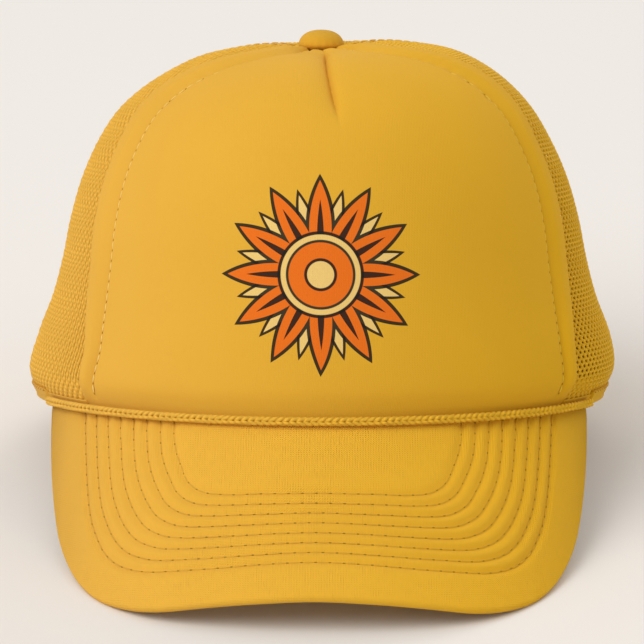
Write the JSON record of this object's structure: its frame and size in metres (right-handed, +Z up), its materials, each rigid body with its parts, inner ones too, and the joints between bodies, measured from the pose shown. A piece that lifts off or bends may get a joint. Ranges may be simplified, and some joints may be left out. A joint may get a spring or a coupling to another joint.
{
  "type": "trucker hat",
  "caption": "Golden foam-front trucker hat with net side and back panels, braided cord, stitched curved visor, top button and a snap strap behind.",
  "frame": {"origin": "centre of the bounding box at the level the hat rests on", "axes": "+X to the right as seen from the front, -Y ahead over the visor, +Z up, the hat resting on its visor corners and back strap"},
  "size_m": [0.1886, 0.2472, 0.1392],
  "materials": {
    "front_cloth": "fine matte woven cloth over foam",
    "visor_cloth": "matte woven cloth, rows of stitching",
    "net": "open knitted net of matte yarn",
    "braid": "round braided cord, slight sheen",
    "tape": "plain woven tape",
    "sweatband": "soft plain cloth",
    "strap": "satin moulded plastic"
  },
  "bodies": {
    "root": {"front_panel": "front_cloth", "net_side_left": "net", "net_side_right": "net", "net_back_left": "net", "net_back_right": "net", "seam_tape_front_left": "tape", "seam_tape_front_right": "tape", "seam_tape_side_left": "tape", "seam_tape_side_right": "tape", "seam_tape_back": "tape", "top_button": "front_cloth", "visor": "visor_cloth", "braid_cord": "braid", "hem_left": "front_cloth", "hem_right": "front_cloth", "sweatband": "sweatband", "opening_binding": "front_cloth", "snap_strap": "strap"}
  },
  "joints": []
}
